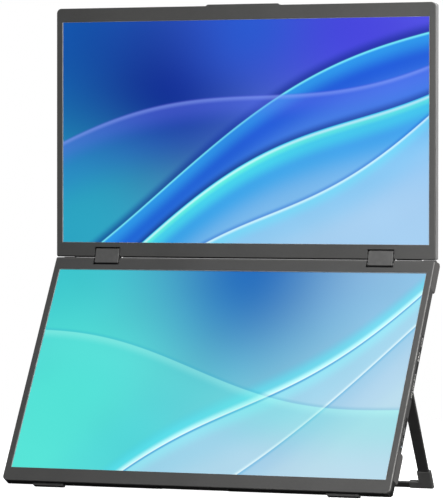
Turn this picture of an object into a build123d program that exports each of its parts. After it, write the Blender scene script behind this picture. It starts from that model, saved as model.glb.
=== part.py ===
from build123d import *
import os
from math import sin, cos, tan, radians, degrees, pi, sqrt, atan2

# Stacked dual-screen laptop extender: a lower display that stands on a
# fold-out U kickstand, and an upper display joined to it by two geared
# double-axis hinge blocks.  Millimetres.
#
# Every body is modelled in its own frame first: X to the right, Y = depth
# behind the bezel's front face, Z = up along the panel.  The lower display's
# Z is zero at the top edge of its active area, the upper display's Z is zero
# at the bottom edge of its active area.  The bodies are then placed.

# ------------------------------------------------------------------ sizes
ACT_W, ACT_H = 527.04, 296.46       # 23.8 inch 16:9 active area
HW = 272.4                          # half width of both displays
LOW_TOP, LOW_BOT = 18.9, -315.5     # lower display's edges
UP_BOT, UP_TOP = -19.85, 315.3      # upper display's edges
T_LOW, T_UP = 15.1, 13.0            # thickness of the displays
R_OUT, R_IN = 6.5, 2.6              # corner radii: free corners, hinge-side corners
SIDE_R = 1.8                        # rounding of the upright back edges
EDGE_R = 2.0                        # rounding of the front edges along the hinge side
BEZEL_T = 1.5                       # bezel plate
SKIRT = 2.4                         # bezel's rim reaches this far back
SEAM = 0.2                          # visible gap between bezel and rear cover
WALL = 1.5                          # rear cover wall
WINDOW = 0.4                        # bezel window beyond the active area
BEAD = 0.85                         # bead on the upper cover's hinge side
RECESS = 0.8                        # depth of the guards' seats in the side walls

TILT = 29.73                        # lower display leans back from vertical
AXIS_GAP = 10.8                     # distance between the two hinge axes
AXIS_IN = 4.4                       # hinge axis inside the panel's edge
AXIS_D = 4.2                        # hinge axis behind the bezel's face
HINGE_X = 196.9                     # hinge centres
BLOCK_HW = 17.25                    # half width of a hinge block
NOTCH_HW = 18.8                     # half width of its notch
NOTCH_LOW = 8.0                     # floor of the lower notch
NOTCH_UP = -6.4                     # roof of the upper notch
NOTCH_D, NOTCH_DU = 13.15, 12.1     # depth of the lower and upper notches
BLOCK_R = 7.55                      # upper end of a hinge block, round the upper axis
BLOCK_E = 4.6                       # lower end of a hinge block below the lower axis
END_F, END_B = 2.4, 3.0             # front and back rounding of that lower end
BLOCK_F, BLOCK_B = 5.2, 5.6         # front and back half thickness
SHAFT_R, TAIL_R, NECK_R = 2.5, 1.75, 1.35
MODULE, TEETH = 0.3, 12             # timing gears; AXIS_GAP = 3 * MODULE * TEETH

FLOOR = -282.3                      # floor height in the lower display's origin frame
PIVOT_S, PIVOT_D = -139.0, 18.4     # kickstand pivot
STAND_OPEN = 58.93                  # kickstand's angle from the back cover
LEG_X0, LEG_X1 = 246.0, 260.6       # leg, measured from the middle
LEG_T = 4.5
LEG_L = 173.0
BAR_H = 8.0
SHOE_X = 263.3                      # outer face of the stand's shoes
KNUCKLE_R, PIN_R = 3.0, 1.6

PLATEAU = 3.0                       # raised electronics housing on the back
VESA = 75.0

al = radians(TILT)
OUT = {}


# ---------------------------------------------------------------- helpers
def bx(x0, x1, y0, y1, z0, z1):
    return Pos((x0 + x1) / 2, (y0 + y1) / 2, (z0 + z1) / 2) * Box(abs(x1 - x0), abs(y1 - y0), abs(z1 - z0))


def cx(x0, x1, y, z, r):
    "cylinder along X"
    return Pos((x0 + x1) / 2, y, z) * Rot(0, 90, 0) * Cylinder(r, abs(x1 - x0))


def cy(y0, y1, x, z, r):
    "cylinder along Y"
    return Pos(x, (y0 + y1) / 2, z) * Rot(90, 0, 0) * Cylinder(r, abs(y1 - y0))


def plate(x0, x1, z0, z1, y0, y1, rt=0.0, rb=0.0):
    "rounded plate in XZ, from depth y0 to y1"
    sk = Rectangle(x1 - x0, z1 - z0)
    rows = sk.vertices().group_by(Axis.Y)
    if rb > 0:
        sk = fillet(rows[0], rb)
    if rt > 0:
        sk = fillet(sk.vertices().group_by(Axis.Y)[-1] if rb <= 0 else
                    sk.vertices().filter_by(lambda v: abs(v.Y - (z1 - z0) / 2) < 1e-6), rt)
    pl = Plane(origin=((x0 + x1) / 2, y1, (z0 + z1) / 2), x_dir=(1, 0, 0), z_dir=(0, -1, 0))
    return extrude(pl * sk, amount=y1 - y0)


def prism(pts, x0, x1):
    "polygon of (y, z) points extruded along X"
    pl = Plane(origin=(x0, 0, 0), x_dir=(0, 1, 0), z_dir=(1, 0, 0))
    return extrude(pl * make_face(Polyline(*pts, close=True)), amount=x1 - x0)


def round_tool(y, z, r, sy, sz, x0=-300, x1=300):
    "what a rounding of radius r removes at the corner (y, z); sy, sz point into the body"
    e = 0.5
    sq = bx(x0, x1, y - sy * e, y + sy * r, z - sz * e, z + sz * r)
    return sq - cx(x0 - 1, x1 + 1, y + sy * r, z + sz * r, r)


def both(f):
    "a pair of solids, one for each side"
    return [f(-1), f(1)]


def slot_row(xs, z, w, h, y0, y1):
    "upright slots with round ends, for vents"
    out = []
    for x in xs:
        sk = Pos(x, z) * RectangleRounded(w, h, w / 2 - 0.01)
        pl = Plane(origin=(0, y1, 0), x_dir=(1, 0, 0), z_dir=(0, -1, 0))
        out.append(extrude(pl * sk, amount=y1 - y0))
    return out


def solids_of(*items):
    out = []
    for it in items:
        if isinstance(it, (list, tuple)):
            out += solids_of(*it)
        else:
            out += list(it.solids())
    return out


def put(name, loc, *items):
    OUT[name] = [loc * s for s in solids_of(*items)]


# --------------------------------------------------------------- placings
lu = (sin(al), cos(al))                 # lower panel's up direction in (Y, Z)
lb = (cos(al), -sin(al))                # lower panel's back direction
AX_LS = LOW_TOP - AXIS_IN
AX_US = UP_BOT + AXIS_IN
A = (AX_LS * lu[0] + AXIS_D * lb[0], AX_LS * lu[1] + AXIS_D * lb[1])
B = (A[0] + AXIS_GAP * sin(al / 2), A[1] + AXIS_GAP * cos(al / 2))
UP0 = (B[0] - AXIS_D, B[1] - AX_US)
PIV = (PIVOT_S * lu[0] + PIVOT_D * lb[0], PIVOT_S * lu[1] + PIVOT_D * lb[1])

LOC_LOW = Location((0, 0, 0), (-TILT, 0, 0))
LOC_UP = Location((0, UP0[0], UP0[1]))
LOC_LINK = Location((0, A[0], A[1]), (-TILT / 2, 0, 0))
LOC_STAND = Location((0, PIV[0], PIV[1]), (-TILT + STAND_OPEN, 0, 0))


# ------------------------------------------------------------ display shells
def bezel(z0, z1, rt, rb, win_z0, win_z1, hinge_top, thick):
    "front frame: plate with a shallow rim, a bevelled window and the hinge notches"
    body = plate(-HW, HW, z0, z1, 0, SKIRT, rt, rb)
    front = body.faces().sort_by(Axis.Y)[0]
    free = [e for e in front.edges()
            if not (abs(e.center().Z - (z1 if hinge_top else z0)) < 3.0)]
    body = chamfer(free, 0.5)
    # hollow behind the plate, inside the rim
    body -= plate(-HW + WALL, HW - WALL, z0 + WALL, z1 - WALL, BEZEL_T, SKIRT + 1, max(rt - WALL, 0.6), max(rb - WALL, 0.6))
    win = plate(-ACT_W / 2 - WINDOW, ACT_W / 2 + WINDOW, win_z0 - WINDOW, win_z1 + WINDOW, -1, BEZEL_T + 1, 0.8, 0.8)
    body -= win
    edge = [e for e in body.edges().filter_by(lambda e: abs(e.center().Y) < 1e-6)
            if abs(e.center().X) < ACT_W / 2 + 1 and win_z0 - 1 < e.center().Z < win_z1 + 1]
    body = chamfer(edge, 0.6)
    # rounding along the hinge side
    if hinge_top:
        body -= round_tool(0, z1, EDGE_R, 1, -1)
    else:
        body -= round_tool(0, z0, EDGE_R, 1, 1)
    return body


def screw_places(rows):
    return [(x, z) for z, xs in rows for x in xs]


def rounded_block(z0, z1, rt, rb, y0, thick, r_free, r_hinge, r_side, hinge_top, inset=0.0):
    "slab whose corners are rounded in the plane of the panel and along its back edges"
    body = plate(-HW + inset, HW - inset, z0, z1, y0, thick, rt, rb)
    w = 2 * (HW - inset)
    h = z1 - z0
    # outline seen from the side, drawn with local x = depth and local y = height
    sk = Pos((thick - 30) / 2, (z0 + z1) / 2) * Rectangle(thick + 30, h)
    r_top, r_bot = (r_hinge, r_free) if hinge_top else (r_free, r_hinge)
    sk = fillet(sk.vertices().filter_by(lambda v: v.X > 0 and v.Y > (z0 + z1) / 2), r_top)
    sk = fillet(sk.vertices().filter_by(lambda v: abs(v.X - thick) < 1e-6 and v.Y < (z0 + z1) / 2), r_bot)
    body &= extrude(Plane(origin=(-300, 0, 0), x_dir=(0, 1, 0), z_dir=(1, 0, 0)) * sk, amount=600)
    # outline seen from above, local x = width and local y = depth
    sk = Pos(0, (thick - 30) / 2) * Rectangle(w, thick + 30)
    sk = fillet(sk.vertices().filter_by(lambda v: abs(v.Y - thick) < 1e-6), r_side)
    body &= extrude(Plane(origin=(0, 0, z0 - 20), x_dir=(1, 0, 0), z_dir=(0, 0, 1)) * sk, amount=h + 40)
    return body


def shell_body(z0, z1, rt, rb, y0, thick, hinge_top):
    "outer form of a rear cover"
    return rounded_block(z0, z1, rt, rb, y0, thick, 4.2, 3.2, SIDE_R, hinge_top)


def cover(z0, z1, rt, rb, thick, hinge_top):
    "rear cover: a shallow tray with rounded back edges"
    y0 = SKIRT + SEAM
    body = shell_body(z0, z1, rt, rb, y0, thick, hinge_top)
    body -= rounded_block(z0 + WALL, z1 - WALL, max(rt - WALL, 0.8), max(rb - WALL, 0.8), y0 - 1, thick - WALL, 2.8, 1.9, 1.0, hinge_top, WALL)
    return body


def notch_blocks(zf, ze, sgn, deep=NOTCH_D):
    "walls round the two hinge notches; zf is the notch's end, ze the panel's edge"
    out = []
    for s in (-1, 1):
        x0, x1 = s * HINGE_X - NOTCH_HW - 1.3, s * HINGE_X + NOTCH_HW + 1.3
        out.append(bx(x0, x1, BEZEL_T + 0.1, deep + 0.6, zf - sgn * 1.2, ze - sgn * (WALL + 0.1)))
        out.append(bx(x0, x1, SKIRT + SEAM, deep + 0.6, zf, ze - sgn * 1.0))
    return out


def notch_cuts(zf, zo, deep=NOTCH_D):
    out = []
    for s in (-1, 1):
        c = s * HINGE_X
        out.append(bx(c - NOTCH_HW, c + NOTCH_HW, -1, deep, zf, zo))
    return out


def shaft_seat(s, z):
    "open seat in the notch walls: the shaft is laid in from the front"
    x0, x1 = s * HINGE_X - NOTCH_HW - 2, s * HINGE_X + NOTCH_HW + 2
    r = SHAFT_R + 0.1
    return cx(x0, x1, AXIS_D, z, r) + bx(x0, x1, -1, AXIS_D, z - r, z + r)


# ---------------------------------------------------------- lower display
LOW_ROWS = [(12.0, (-258, -95, 0, 95, 258)), (-307.6, (-258, -120, 120, 258))]
LOW_SCREWS = screw_places(LOW_ROWS)
UP_ROWS = [(-12.6, (-258, -95, 0, 95, 258)), (308.6, (-258, -120, 120, 258))]
UP_SCREWS = screw_places(UP_ROWS)

lower_bezel = bezel(LOW_BOT, LOW_TOP, R_IN, R_OUT, -ACT_H, 0, True, T_LOW)
for c in notch_cuts(NOTCH_LOW, LOW_TOP + 3):
    lower_bezel -= c
for x, z in LOW_SCREWS:
    lower_bezel += cy(BEZEL_T - 0.2, 10.2, x, z, 2.6) & bx(-270.5, 270.5, 0, 12, LOW_BOT + WALL + 0.2, LOW_TOP - WALL - 0.2)
for x, z in LOW_SCREWS:
    lower_bezel -= cy(3.5, 11, x, z, 1.2)

lower_cover = cover(LOW_BOT, LOW_TOP, R_IN, R_OUT, T_LOW, True)
# raised housing for the electronics and the wall mount
px, pz0, pz1 = 168.0, -236.0, -42.0
raised = plate(-px, px, pz0, pz1, T_LOW - 0.2, T_LOW + PLATEAU, 12, 12)
raised = chamfer(raised.faces().sort_by(Axis.Y)[-1].edges(), 2.2)
lower_cover += raised
lower_cover -= plate(-px + 3.4, px - 3.4, pz0 + 3.4, pz1 - 3.4, T_LOW - WALL - 1, T_LOW + PLATEAU - WALL, 9, 9)
for b in notch_blocks(NOTCH_LOW, LOW_TOP, 1):
    lower_cover += b
for c in notch_cuts(NOTCH_LOW, LOW_TOP + 3):
    lower_cover -= c
for s in (-1, 1):
    lower_cover -= shaft_seat(s, AX_LS)
# wall-mount bosses
VC = (0.0, -139.0)
VESA_PTS = [(sx * VESA / 2, VC[1] + sz * VESA / 2) for sx in (-1, 1) for sz in (-1, 1)]
BACK = T_LOW + PLATEAU
for x, z in VESA_PTS:
    lower_cover += cy(9.0, BACK - 0.5, x, z, 4.4)
for x, z in VESA_PTS:
    lower_cover -= cy(8.0, BACK + 1, x, z, 2.9)
# cover screws: pad inside, counterbore outside
for x, z in LOW_SCREWS:
    lower_cover += cy(10.3, T_LOW - 1.0, x, z, 3.4) & bx(-271.5, 271.5, 0, 14, LOW_BOT + 1, LOW_TOP - 1)
for x, z in LOW_SCREWS:
    lower_cover -= cy(9, T_LOW + 1, x, z, 1.3)
    lower_cover -= cy(T_LOW - 1.7, T_LOW + 1, x, z, 2.35)
# vents near the top and bottom of the raised housing
vent_x = [-104 + 8.0 * i for i in range(27)]
vents = slot_row(vent_x, pz1 - 16, 2.4, 15, T_LOW - 2, BACK + 1) + slot_row(vent_x, pz0 + 16, 2.4, 15, T_LOW - 2, BACK + 1)
for v in vents:
    lower_cover -= v
# speaker grilles
for s in (-1, 1):
    for v in slot_row([s * (44 + 5.0 * i) for i in range(10)], -284, 1.8, 12, T_LOW - 2, T_LOW + 1):
        lower_cover -= v
# shallow finger scoop in the bottom edge, with ramped ends
scoop = extrude(Plane(origin=(0, 20, 0), x_dir=(1, 0, 0), z_dir=(0, -1, 0)) *
                make_face(Polyline((-52, LOW_BOT - 1), (-46, LOW_BOT + 1.4), (46, LOW_BOT + 1.4), (52, LOW_BOT - 1), close=True)), amount=16.0)
lower_cover -= scoop
# sockets and keys in the right side wall
SEATS = [(3.4, -20.0, LOW_TOP + 1), (5.0, -295.0, -252.5)]
PANELS = [(-179.0, -87.0), (-249.0, -205.0)]
HDMI_S = (-96.0, -117.5)
USBC_S = (-147.0, -159.0, -171.0)
JACK_S, ROCK_S, PWR_S = -210.5, -223.5, -236.5
PORT_D = 10.0


def side_hole(z, w, h, r, deep=5.0):
    sk = RectangleRounded(h, w, r)
    pl = Plane(origin=(HW + 1, PORT_D, z), x_dir=(0, 1, 0), z_dir=(1, 0, 0))
    return extrude(pl * sk, amount=-deep)


for s0, s1 in PANELS:
    lower_cover -= bx(HW - 0.3, HW + 1, 7.0, 13.0, s0, s1)
for z in HDMI_S:
    lower_cover -= side_hole(z, 12.8, 3.8, 0.6)
for z in USBC_S:
    lower_cover -= side_hole(z, 10.6, 3.8, 1.7)
lower_cover -= cx(HW - 4, HW + 1, PORT_D - 0.4, JACK_S, 2.4)
lower_cover -= side_hole(ROCK_S, 11.9, 3.5, 1.6)
lower_cover -= side_hole(PWR_S, 8.5, 3.5, 1.6)
lower_cover -= cx(HW - 4, HW + 1, PORT_D, -245.5, 0.85)

# seats for the corner guards, cut into the side walls
for s in (-1, 1):
    for d0, s0, s1 in SEATS:
        lower_cover -= bx(s * (HW - RECESS), s * (HW + 1), d0, T_LOW + 1, s0, s1)

put("lower_bezel", LOC_LOW, lower_bezel)


def stack(prefix, loc, zlo, zhi, zled):
    "the screen's layers, front to back"
    put(prefix + "_lcd_panel", loc, plate(-267.4, 267.4, zlo - 3.6, zhi + 3.6, 1.7, 3.1))
    put(prefix + "_diffuser", loc, plate(-266.2, 266.2, zlo - 2.6, zhi + 2.6, 3.3, 3.9))
    lg0, lg1 = (zlo - 0.4, zhi + 2.4) if zled < 0 else (zlo - 2.4, zhi + 0.4)
    put(prefix + "_light_guide", loc, plate(-266.0, 266.0, lg0, lg1, 4.1, 6.9))
    led = bx(-264, 264, 4.2, 6.8, zlo - 2.7, zlo - 0.6) if zled < 0 else bx(-264, 264, 4.2, 6.8, zhi + 0.6, zhi + 2.7)
    put(prefix + "_led_strip", loc, led)
    tray = plate(-268.4, 268.4, zlo - 4.6, zhi + 4.6, 3.3, 8.3) - plate(-267.2, 267.2, zlo - 3.4, zhi + 3.4, 2, 7.3)
    put(prefix + "_backlight_tray", loc, tray)


stack("lower", LOC_LOW, -ACT_H, 0.0, -1)

# main board along the right edge, sockets sunk into its edge
board = bx(176, 267.5, 10.5, 11.5, -250, -76)
cut = []
for z in HDMI_S:
    cut.append(bx(259.0, 268, 9, 13, z - 5.9, z + 5.9))
for z in USBC_S:
    cut.append(bx(261.1, 268, 9, 13, z - 4.8, z + 4.8))
cut.append(bx(256.8, 268, 9, 13, JACK_S - 3.4, JACK_S + 3.4))
for c in cut:
    board -= c
BOARD_HOLES = [(184, -242), (184, -84), (252, -242), (252, -84)]
for x, z in BOARD_HOLES:
    board -= cy(9, 13, x, z, 1.15)
put("main_board", LOC_LOW, board)
put("main_board_chips", LOC_LOW, [bx(205, 223, 9.3, 10.5, -150, -132), bx(208, 220, 9.5, 10.5, -190, -178),
                                  bx(236, 243, 9.6, 10.5, -156, -149), bx(236, 243, 9.6, 10.5, -172, -165),
                                  bx(232, 238, 9.4, 10.5, -206, -198), bx(190, 198, 9.5, 10.5, -110, -100)])
put("board_screws", LOC_LOW, [cy(9.4, 10.5, x, z, 1.9) + cy(10.5, 12.2, x, z, 1.1) for x, z in BOARD_HOLES])
put("heat_spreader", LOC_LOW, bx(199, 229, 8.5, 9.3, -196, -126))


def hdmi(z):
    shell = bx(259.2, HW - 0.1, PORT_D - 1.6, PORT_D + 1.6, z - 5.6, z + 5.6)
    shell += bx(HW - 1.4, HW - 0.1, PORT_D - 1.65, PORT_D + 1.65, z - 6.15, z + 6.15)
    shell -= bx(264.0, HW + 1, PORT_D - 1.2, PORT_D + 1.2, z - 5.2, z + 5.2)
    return shell + bx(263.9, HW - 2.4, PORT_D - 0.35, PORT_D + 0.35, z - 3.8, z + 3.8)


def usbc(z):
    pl = Plane(origin=(HW - 0.1, PORT_D, z), x_dir=(0, 1, 0), z_dir=(1, 0, 0))
    shell = extrude(pl * RectangleRounded(3.16, 8.94, 1.5), amount=-10.9)
    shell += extrude(pl * RectangleRounded(3.3, 10.1, 1.55), amount=-1.3)
    shell -= extrude(pl * RectangleRounded(2.5, 8.3, 1.2), amount=-7.7)
    return shell + bx(264.3, HW - 1.6, PORT_D - 0.35, PORT_D + 0.35, z - 3.3, z + 3.3)


put("hdmi_sockets", LOC_LOW, [hdmi(z) for z in HDMI_S])
put("usb_c_sockets", LOC_LOW, [usbc(z) for z in USBC_S])
jack = bx(257, 268.5, 8.5, 11.9, JACK_S - 3.2, JACK_S + 3.2) + cx(268.45, HW - 0.3, PORT_D - 0.4, JACK_S, 2.1)
jack -= cx(260.0, HW + 1, PORT_D - 0.4, JACK_S, 1.0) + cx(258.2, 267.8, PORT_D + 0.2, JACK_S, 1.2) + cx(267.6, HW + 1, PORT_D - 0.4, JACK_S, 1.7)
put("audio_jack", LOC_LOW, jack)
put("key_switches", LOC_LOW, [bx(262.6, 266.2, PORT_D - 1.5, PORT_D + 0.5, ROCK_S - 4.6, ROCK_S - 2.0),
                              bx(262.6, 266.2, PORT_D - 1.5, PORT_D + 0.5, ROCK_S + 2.0, ROCK_S + 4.6),
                              bx(262.6, 266.2, PORT_D - 1.5, PORT_D + 0.5, PWR_S - 1.5, PWR_S + 1.5)])
put("status_light_pipe", LOC_LOW, cx(267.6, HW - 0.2, PORT_D, -245.5, 0.8))

# speakers behind the grilles
for nm, s in (("left_speaker", -1), ("right_speaker", 1)):
    spk = plate(min(s * 38, s * 96), max(s * 38, s * 96), -294, -274, 8.6, 12.0, 2, 2)
    spk -= plate(min(s * 42, s * 92), max(s * 42, s * 92), -291, -277, 11.2, 13, 4, 4)
    put(nm, LOC_LOW, spk)

# timing-controller board and flat cables
put("lower_timing_board", LOC_LOW, bx(-120, -20, 9.6, 10.6, -268, -250), bx(-100, -88, 8.7, 9.6, -263, -255), bx(-60, -50, 8.7, 9.6, -262, -256))
put("lower_flat_cable", LOC_LOW, bx(-19.5, 175.5, 10.2, 10.5, -262, -250.5) + bx(160, 175.5, 10.2, 10.5, -250.6, -225))

put("vesa_inserts", LOC_LOW, [cy(9.2, BACK, x, z, 2.9) - cy(8, BACK + 1, x, z, 2.0) for x, z in VESA_PTS])


def cover_screw(x, z, t):
    return cy(t - 1.65, t - 0.35, x, z, 2.1) + cy(4.0, t - 1.6, x, z, 1.2) - bx(x - 1.4, x + 1.4, t - 0.95, t, z - 0.3, z + 0.3) - bx(x - 0.3, x + 0.3, t - 0.95, t, z - 1.4, z + 1.4)


put("lower_cover_screws", LOC_LOW, [cover_screw(x, z, T_LOW) for x, z in LOW_SCREWS])

# feet under the bottom edge, soles cut level with the floor
floor_cut = Location((0, 0, 0), (TILT, 0, 0)) * bx(-400, 400, -400, 400, FLOOR - 60, FLOOR)


def foot(s):
    f = bx(s * 207.5 - 22, s * 207.5 + 22, 5.4, 12.9, LOW_BOT - 3.6, LOW_BOT + 3.0)
    f = chamfer(f.edges().filter_by(Axis.Y).filter_by(lambda e: e.center().Z < LOW_BOT), 1.6)
    f -= floor_cut
    f -= foot_blank
    return f + bx(s * 207.5 - 19, s * 207.5 + 19, 6.6, 9.2, LOW_BOT - 0.5, LOW_BOT + 1.0)


foot_blank = bx(-300, 300, 0, 20, LOW_BOT, 0) - round_tool(T_LOW, LOW_BOT, 4.2, -1, 1)
FOOT_CUT = [bx(s * 207.5 - 19, s * 207.5 + 19, 6.6, 9.2, LOW_BOT - 1, LOW_BOT + 1.0) for s in (-1, 1)]
put("bottom_feet", LOC_LOW, both(foot))


def guard(s, pts, xin, seat):
    "protective block at a back corner; pts is its (depth, height) outline"
    x0, x1 = min(s * xin, s * (HW - 0.1)), max(s * xin, s * (HW - 0.1))
    d0, s0, s1 = seat
    skirt = bx(s * (HW - RECESS), s * (HW - 0.1), d0, T_LOW + 1, s0, s1)
    g = prism(pts, x0, x1)
    rim = g.edges().filter_by(lambda e: abs(e.center().X - s * (HW - 0.1)) < 0.01 and e.center().Y > 14.0)
    return chamfer(rim, 0.7) - blank + (skirt & blank)


blank = shell_body(LOW_BOT, LOW_TOP, R_IN, R_OUT, 1.0, T_LOW, True)
TOP_GUARD = [(2.8, 18.0), (9.4, 20.1), (13.2, 22.0), (13.6, 22.8), (17.8, 23.6), (21.4, 21.2), (21.4, -17.6), (19.4, -20.0), (9.2, -20.0), (9.2, 10.0)]
LOW_GUARD = [(9.2, -252.5), (20.2, -252.5), (22.6, -255.0), (22.6, -290.0), (19.7, -295.0), (9.2, -295.0)]


def stop_lug(s):
    "upright lug on a top guard that stands close behind the upper display's back"
    x0, x1 = min(s * 251.0, s * 268.6), max(s * 251.0, s * 268.6)
    g = prism([(13.4, 20.0), (13.4, 25.9), (13.9, 26.4), (18.4, 26.4), (19.6, 25.0), (19.6, 20.0)], x0, x1)
    return chamfer(g.edges().filter_by(lambda e: abs(e.center().X - s * 268.6) < 0.01 and e.center().Z > 23), 0.6)


guards = [guard(s, TOP_GUARD, 251.0, SEATS[0]) + stop_lug(s) for s in (-1, 1)] + [guard(s, LOW_GUARD, 266.2, SEATS[1]) for s in (-1, 1)]
put("back_guards", LOC_LOW, guards)


# ---------------------------------------------------------- upper display
upper_bezel = bezel(UP_BOT, UP_TOP, R_OUT, R_IN, 0, ACT_H, False, T_UP)
# lifting lip in the middle of the top edge
lip = extrude(Plane(origin=(0, 7.0, 0), x_dir=(1, 0, 0), z_dir=(0, -1, 0)) *
              make_face(Polyline((-54, UP_TOP - 1), (-50.5, UP_TOP + 2.0), (50.5, UP_TOP + 2.0), (54, UP_TOP - 1), close=True)), amount=6.4)
lip = fillet(lip.edges().filter_by(Axis.X).filter_by(lambda e: e.center().Z > UP_TOP), 0.8)
lip_front = lip & bx(-60, 60, 0.3, SKIRT, UP_TOP - 0.8, UP_TOP + 3)
lip_back = lip & bx(-60, 60, SKIRT + SEAM, 8, UP_TOP - 0.8, UP_TOP + 3)
upper_bezel += lip_front
for c in notch_cuts(UP_BOT - 3, NOTCH_UP, NOTCH_DU):
    upper_bezel -= c
for x, z in UP_SCREWS:
    upper_bezel += cy(BEZEL_T - 0.2, 9.5, x, z, 2.6) & bx(-270.5, 270.5, 0, 12, UP_BOT + WALL + 0.2, UP_TOP - WALL - 0.2)
for x, z in UP_SCREWS:
    upper_bezel -= cy(3.5, 11, x, z, 1.2)

upper_cover = cover(UP_BOT, UP_TOP, R_OUT, R_IN, T_UP, False)
upper_cover += lip_back
# stiffening bead along the hinge side, behind the gap between the displays
upper_cover += bx(-HW + 22.4, HW - 22.4, 9.4, 11.7, UP_BOT - BEAD, UP_BOT + 1.2)
for b in notch_blocks(NOTCH_UP, UP_BOT, -1, NOTCH_DU):
    upper_cover += b
for c in notch_cuts(UP_BOT - 3, NOTCH_UP, NOTCH_DU):
    upper_cover -= c
for s in (-1, 1):
    upper_cover -= shaft_seat(s, AX_US)
for x, z in UP_SCREWS:
    upper_cover += cy(9.6, T_UP - 1.0, x, z, 3.4) & bx(-271.5, 271.5, 0, 14, UP_BOT + 1, UP_TOP - 1)
for x, z in UP_SCREWS:
    upper_cover -= cy(9, T_UP + 1, x, z, 1.3)
    upper_cover -= cy(T_UP - 1.7, T_UP + 1, x, z, 2.35)
# two shallow styling grooves on the back
for z in (60.0, 235.0):
    upper_cover -= bx(-230, 230, T_UP - 0.4, T_UP + 1, z - 0.5, z + 0.5)

put("upper_bezel", LOC_UP, upper_bezel)
put("upper_rear_cover", LOC_UP, upper_cover)
stack("upper", LOC_UP, 0.0, ACT_H, 1)
put("upper_timing_board", LOC_UP, bx(-60, 60, 9.2, 10.2, 22, 40), bx(-38, -26, 8.5, 9.2, 27, 35), bx(16, 26, 8.5, 9.2, 28, 34))
put("upper_flat_cable", LOC_UP, bx(60.5, 230, 9.6, 9.9, 26, 36) + bx(220, 230, 9.6, 9.9, 2, 26.1))
put("upper_cover_screws", LOC_UP, [cover_screw(x, z, T_UP) for x, z in UP_SCREWS])


# ------------------------------------------------------------- hinge pieces
def involute_gear(x0, x1, z, phase, bore=0.0, backlash=0.05):
    "spur gear on the X axis through (0, z); phase in degrees places a tooth centre"
    rp = MODULE * TEETH / 2
    rb = rp * cos(radians(20))
    ra, rr = rp + 0.25, rp - 0.37
    inv = lambda a: tan(a) - a
    half = pi / (2 * TEETH) - backlash / (2 * rp)
    base_half = half + inv(radians(20))
    flank = []
    for i in range(5):
        r = rb + (ra - rb) * i / 4
        a = inv(sqrt(max((r / rb) ** 2 - 1, 0)) and atan2(sqrt((r / rb) ** 2 - 1), 1))
        flank.append((r, base_half - a))
    pts = []
    for k in range(TEETH):
        c = 2 * pi * k / TEETH + radians(phase)
        side = [(rr, base_half + 0.02)] + flank
        for r, a in side:
            pts.append((r, c - a))
        for r, a in reversed(side):
            pts.append((r, c + a))
    poly = [(r * sin(t), z + r * cos(t)) for r, t in pts]
    g = prism(poly, x0, x1)
    if bore:
        g -= cx(x0 - 1, x1 + 1, 0, z, bore)
    return g


def link_profile(x0, x1, inset, ridge=0.0):
    "a hinge block's outline from the side, drawn in by inset: squared lower end, round upper end"
    f, b = BLOCK_F - inset, BLOCK_B - inset
    body = bx(x0, x1, -f, b, -BLOCK_E + inset, AXIS_GAP)
    low = body.edges().filter_by(Axis.X).filter_by(lambda e: e.center().Z < 0)
    body = fillet([e for e in low if e.center().Y < 0], max(END_F - inset, 0.5))
    low = body.edges().filter_by(Axis.X).filter_by(lambda e: abs(e.center().Z + BLOCK_E - inset) < 1e-4 and abs(e.center().Y - b) < 1e-4)
    body = fillet(low, max(END_B - inset, 0.5))
    top = cx(x0, x1, 0, AXIS_GAP, BLOCK_R - inset) & bx(x0 - 1, x1 + 1, -f, b, AXIS_GAP, 40)
    if ridge:
        top = fillet(top.edges().filter_by(Axis.X).filter_by(lambda e: e.center().Z > AXIS_GAP + 1), ridge)
    return body + top


def hinge_shaft(side, z, phase):
    "one stepped shaft with its timing gear; tail points away from the middle"
    c = side * HINGE_X
    seg = []
    f = lambda a, b, r: cx(min(c + side * a, c + side * b), max(c + side * a, c + side * b), 0, z, r)
    body = f(-19.6, -4.3, SHAFT_R) + f(-4.3, 4.3, NECK_R) + f(4.3, 20.4, SHAFT_R) + f(20.4, 33.4, TAIL_R)
    g = involute_gear(c - 3.2, c + 3.2, z, phase)
    return body + g


def arm(side, zax, zlo, zhi):
    "steel arm: sleeve round the shaft's tail and a plate with three screws"
    c = side * HINGE_X
    f = lambda a, b: (min(c + side * a, c + side * b), max(c + side * a, c + side * b))
    x0, x1 = f(20.8, 33.2)
    p0, p1 = f(20.8, 52.5)
    body = cx(x0, x1, AXIS_D, zax, 2.45) + bx(p0, p1, 4.9, 6.6, zlo, zhi)
    body -= cx(x0 - 1, x1 + 1, AXIS_D, zax, TAIL_R)
    holes = [(c + side * 38, (zlo + zhi) / 2), (c + side * 49, (zlo + zhi) / 2)]
    for x, z in holes:
        body -= cy(3, 8, x, z, 1.3)
    return body, holes


arms, arm_screws, bosses = [], [], []
for side in (-1, 1):
    a, holes = arm(side, AX_LS, 8.0, 16.6)
    arms.append(a)
    for x, z in holes:
        arm_screws.append(cy(3.7, 4.9, x, z, 2.1) + cy(4.8, 10.0, x, z, 1.2))
        bosses.append(cy(6.6, T_LOW - 1.0, x, z, 3.0) - cy(6, 11.0, x, z, 1.2))
put("lower_hinge_arms", LOC_LOW, arms)
put("lower_arm_screws", LOC_LOW, arm_screws)
lower_cover_full = lower_cover - FOOT_CUT[0] - FOOT_CUT[1]
for b in bosses:
    lower_cover_full += b
bst = [cy(11.5, T_LOW - 1.3, x, z, 2.6) - cy(11, 12.2, x, z, 1.1) for x, z in BOARD_HOLES]
for b in bst:
    lower_cover_full += b
PH = -TILT / 2          # a tooth points along the link, into the first idler
put("lower_hinge_shafts", LOC_LOW, [Pos(0, AXIS_D, AX_LS) * hinge_shaft(side, 0, PH) for side in (-1, 1)])

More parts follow.
